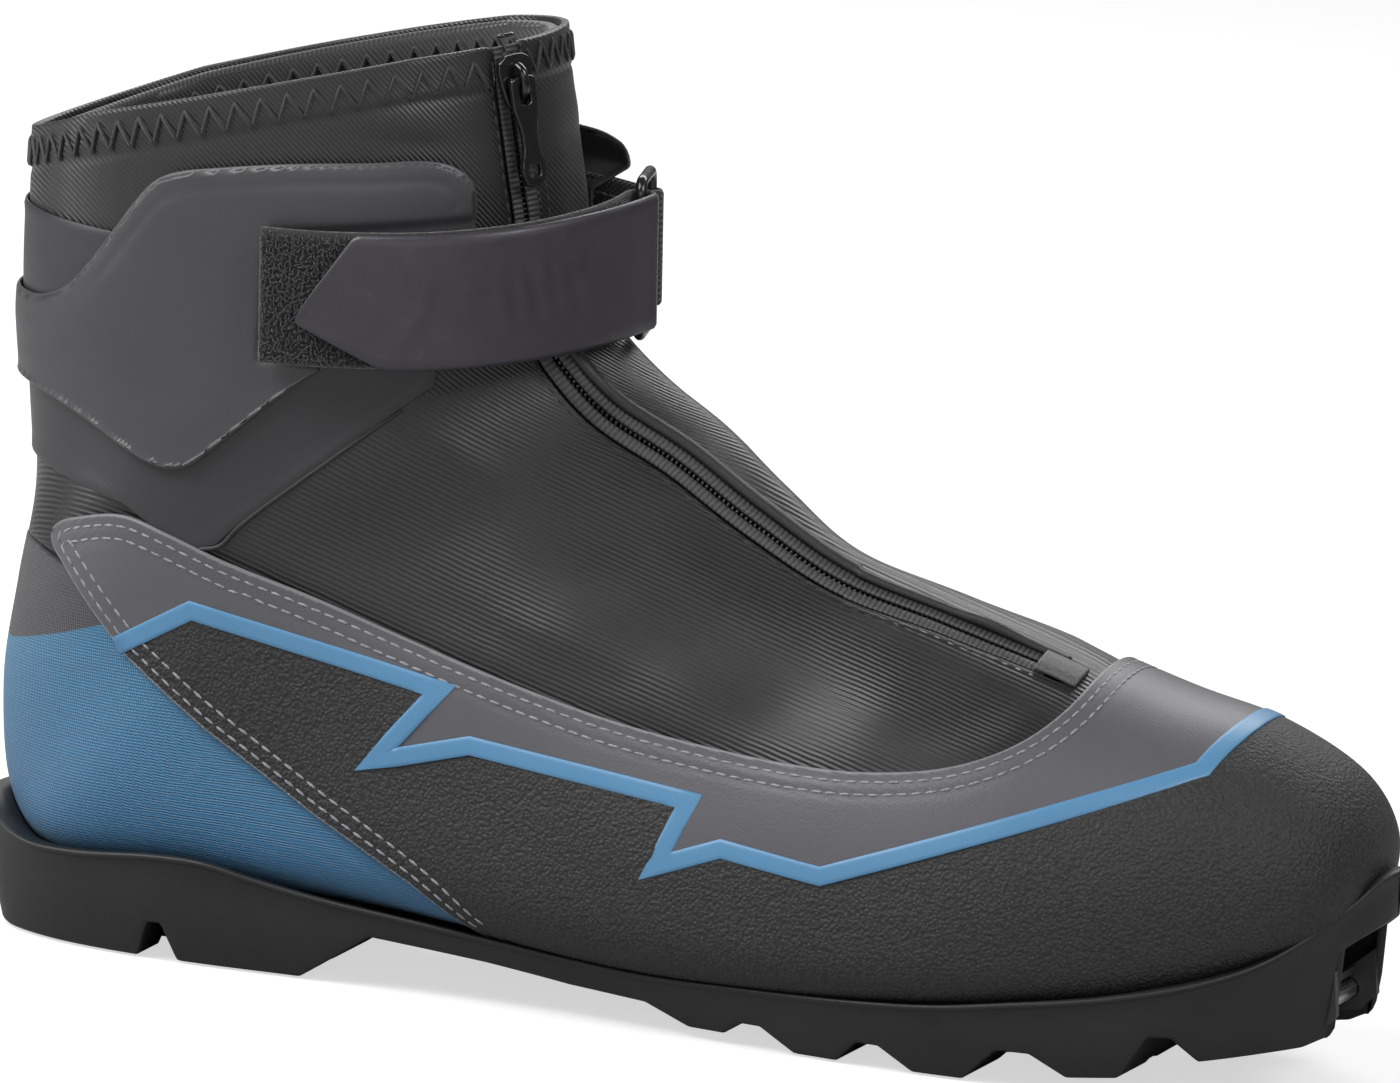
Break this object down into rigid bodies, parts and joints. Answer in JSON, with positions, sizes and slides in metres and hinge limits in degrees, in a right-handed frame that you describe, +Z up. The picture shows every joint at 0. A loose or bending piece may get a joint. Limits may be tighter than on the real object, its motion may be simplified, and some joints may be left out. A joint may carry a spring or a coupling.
{
  "type": "cross country ski boot",
  "caption": "Ankle-high right boot with a zipped cloth gaiter, a moulded heel cuff, a ring-and-strap closure and a sole with a steel toe bar.",
  "frame": {"origin": "on the floor, under the middle of the bounding box", "axes": "+X from heel to toe, +Z up, -Y towards the outer side of the right foot"},
  "size_m": [0.3024, 0.1002, 0.1971],
  "materials": {
    "outsole_rubber": "satin moulded",
    "bar_steel": "polished",
    "bracket_nylon": "moulded",
    "board": "pressed fibre",
    "footbed_foam": "felt on foam",
    "rand_skin": "pebbled below, smooth above",
    "heel_fabric": "fine diagonal mesh, coated",
    "toe_stiffener": "stiffened sheet",
    "zip_tape": "woven tape",
    "zip_coil": "nylon coil",
    "softshell": "twill weave",
    "zip_edge": "folded edge",
    "end_patch": "welded tape",
    "liner_fleece": "brushed fleece",
    "collar_twill": "twill over foam",
    "tongue_fleece": "brushed fleece over foam",
    "underlay_film": "smooth film",
    "cuff_plastic": "fine matte",
    "strap_loop": "loop pile",
    "strap_skin": "smooth coated webbing",
    "strap_hooks": "hook tape",
    "ring_wire": "black wire",
    "tab_webbing": "webbing",
    "slider_metal": "black, glossy",
    "puller_metal": "black, glossy"
  },
  "bodies": {
    "boot": {"outsole": "outsole_rubber", "toe_bar": "bar_steel", "toe_bar_bracket": "bracket_nylon", "lasting_board": "board", "footbed": "footbed_foam", "rand": "rand_skin", "heel_overlay": "heel_fabric", "toe_puff": "toe_stiffener", "zip_tape_outer": "zip_tape", "zip_tape_inner": "zip_tape", "zip_chain": "zip_coil", "gaiter": "softshell", "zip_piping": "zip_edge", "zip_end_patch": "end_patch", "liner": "liner_fleece", "collar_roll": "collar_twill", "tongue": "tongue_fleece", "cuff_underlay": "underlay_film", "cuff": "cuff_plastic", "strap_base": "strap_loop", "strap_ring_tab": "tab_webbing"},
    "slider": {"zip_slider": "slider_metal"},
    "puller": {"zip_puller": "puller_metal"},
    "strap_flap": {"strap_end": "strap_skin", "strap_hook_patch": "strap_hooks"},
    "ring": {"strap_ring": "ring_wire"}
  },
  "joints": [
    {"name": "zip_slide", "type": "slide", "parent": "boot", "child": "slider", "axis": [0.2059, 0.0268, -0.9782], "range_m": [0, 0.016]},
    {"name": "pull_swing", "type": "hinge", "parent": "slider", "child": "puller", "pos_m": [-0.04045, -0.02054, 0.1892], "axis": [-0.4798, -0.8685, -0.1248], "range_deg": [0, 150]},
    {"name": "strap_peel", "type": "hinge", "parent": "boot", "child": "strap_flap", "pos_m": [-0.01482, -0.00161, 0.152], "axis": [-0.0599, 0, 0.9982], "range_deg": [0, 110]},
    {"name": "ring_swing", "type": "hinge", "parent": "boot", "child": "ring", "pos_m": [-0.02156, 0.0156, 0.152], "axis": [-0.0599, 0, 0.9982], "range_deg": [-2.5, 2.5]}
  ]
}
